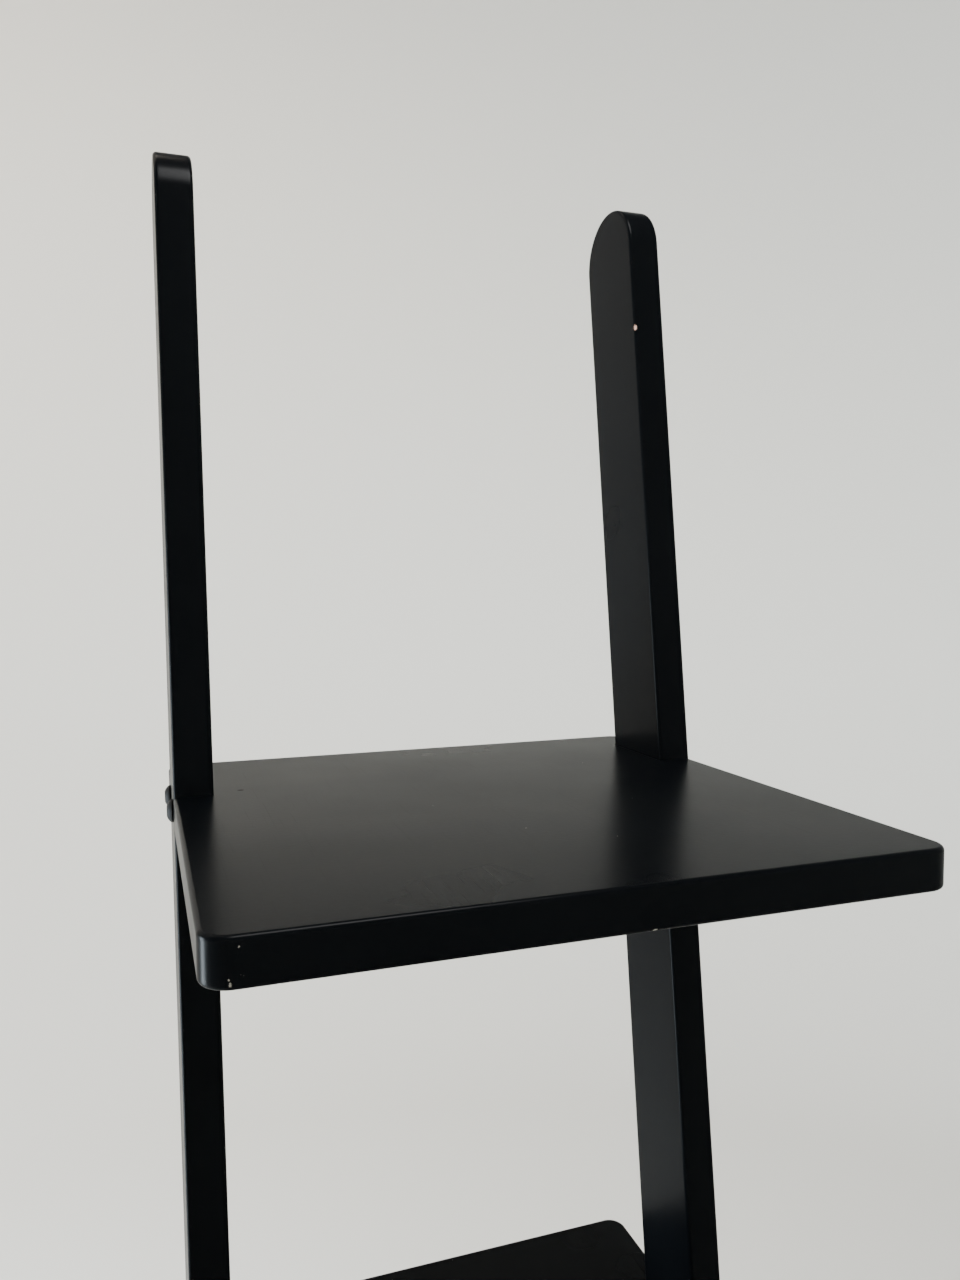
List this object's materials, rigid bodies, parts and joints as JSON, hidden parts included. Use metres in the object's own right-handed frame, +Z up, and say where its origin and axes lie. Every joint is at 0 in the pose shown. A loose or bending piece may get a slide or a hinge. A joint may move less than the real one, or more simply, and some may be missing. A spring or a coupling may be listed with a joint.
{
  "type": "ladder shelf",
  "caption": "Narrow leaning ladder shelf: plank rails with rounded tips carry square boards notched over them, bolted from the sides.",
  "frame": {"origin": "on the floor, midway between the rails and midway between the wall and the boards' front edges", "axes": "+Z up, +Y towards the wall that the shelf leans on, +X to the right seen from the front"},
  "size_m": [0.3064, 0.309, 1.85],
  "materials": {
    "rail_lacquer": "satin black lacquer on wood",
    "board_lacquer": "satin black lacquer on fibreboard",
    "black_bolt": "black coated steel",
    "zinc_nut": "zinc plated steel",
    "pad_rubber": "matt rubber"
  },
  "bodies": {
    "root": {"left_rail": "rail_lacquer", "right_rail": "rail_lacquer", "board_1": "board_lacquer", "board_2": "board_lacquer", "board_3": "board_lacquer", "board_4": "board_lacquer", "board_5": "board_lacquer", "left_bolts_1": "black_bolt", "left_bolts_2": "black_bolt", "left_bolts_3": "black_bolt", "left_bolts_4": "black_bolt", "left_bolts_5": "black_bolt", "right_bolts_1": "black_bolt", "right_bolts_2": "black_bolt", "right_bolts_3": "black_bolt", "right_bolts_4": "black_bolt", "right_bolts_5": "black_bolt", "left_barrel_nuts_1": "zinc_nut", "left_barrel_nuts_2": "zinc_nut", "left_barrel_nuts_3": "zinc_nut", "left_barrel_nuts_4": "zinc_nut", "left_barrel_nuts_5": "zinc_nut", "right_barrel_nuts_1": "zinc_nut", "right_barrel_nuts_2": "zinc_nut", "right_barrel_nuts_3": "zinc_nut", "right_barrel_nuts_4": "zinc_nut", "right_barrel_nuts_5": "zinc_nut", "left_foot_pad": "pad_rubber", "right_foot_pad": "pad_rubber"}
  },
  "joints": []
}
